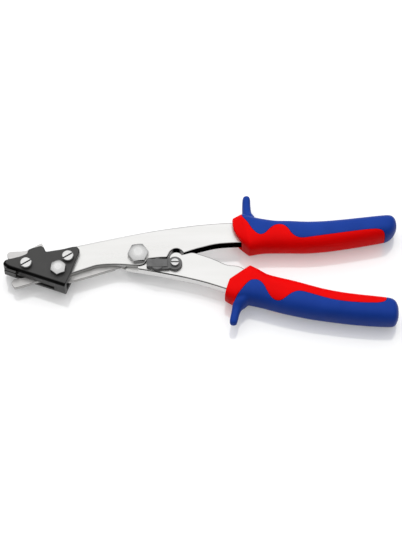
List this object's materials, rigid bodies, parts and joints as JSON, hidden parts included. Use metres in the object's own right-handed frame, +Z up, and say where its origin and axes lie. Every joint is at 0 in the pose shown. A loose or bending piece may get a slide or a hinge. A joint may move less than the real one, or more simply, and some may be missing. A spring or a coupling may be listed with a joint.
{
  "type": "hand sheet-metal nibbler",
  "caption": "Long-handled nibbling shears: pivoted flat levers drive a punch blade through a slotted die head, with a latch and two-colour guarded grips.",
  "frame": {"origin": "on the axis of the main pivot bolt, at the flat end of the bolt, which stands on the table", "axes": "+X along the handles away from the die head, +Z up from the table along the pivot axis, +Y towards the upper arm"},
  "size_m": [0.2822, 0.1024, 0.0239],
  "materials": {
    "bright_steel": "smooth ground steel, nearly white",
    "zinc_plate": "bright zinc plate",
    "blade_steel": "matt grey tool steel",
    "spring_steel": "dark spring wire",
    "black_coat": "satin black coating",
    "latch_steel": "dark grey coating",
    "red_grip": "soft-touch plastic",
    "blue_grip": "satin plastic"
  },
  "bodies": {
    "upper": {"upper_arm": "bright_steel", "die_head": "black_coat", "die_plate": "black_coat", "head_screw_front": "zinc_plate", "head_screw_rear": "zinc_plate", "spacer_front": "zinc_plate", "spacer_rear": "zinc_plate", "blade_bolt": "zinc_plate", "blade_nut": "zinc_plate", "main_bolt": "zinc_plate", "main_washer": "zinc_plate", "main_nut": "zinc_plate", "opening_spring": "spring_steel", "spring_pin_upper": "zinc_plate", "upper_grip_inner": "red_grip", "upper_grip_outer": "blue_grip"},
    "lower": {"lower_lever": "bright_steel", "drive_pin": "zinc_plate", "spring_pin_lower": "zinc_plate", "lower_grip_inner": "red_grip", "lower_grip_outer": "blue_grip", "latch_screw": "zinc_plate"},
    "blade": {"punch_blade": "blade_steel"},
    "latch_body": {"latch": "latch_steel"}
  },
  "joints": [
    {"name": "lever_pivot", "type": "hinge", "parent": "upper", "child": "lower", "pos_m": [0, 0, 0.0115], "axis": [0, 0, -1], "range_deg": [0, 16]},
    {"name": "blade_pivot", "type": "hinge", "parent": "upper", "child": "blade", "pos_m": [-0.0567, -0.0132, 0.0097], "axis": [0, 0, 1], "range_deg": [0, 4.7]},
    {"name": "latch_pivot", "type": "hinge", "parent": "lower", "child": "latch_body", "pos_m": [0.0264, -0.0079, 0.0169], "axis": [0, 0, 1], "range_deg": [0, 35]}
  ],
  "couplings": [
    {"joint": "blade_pivot", "follows": "lever_pivot", "ratio": 0.2837}
  ]
}
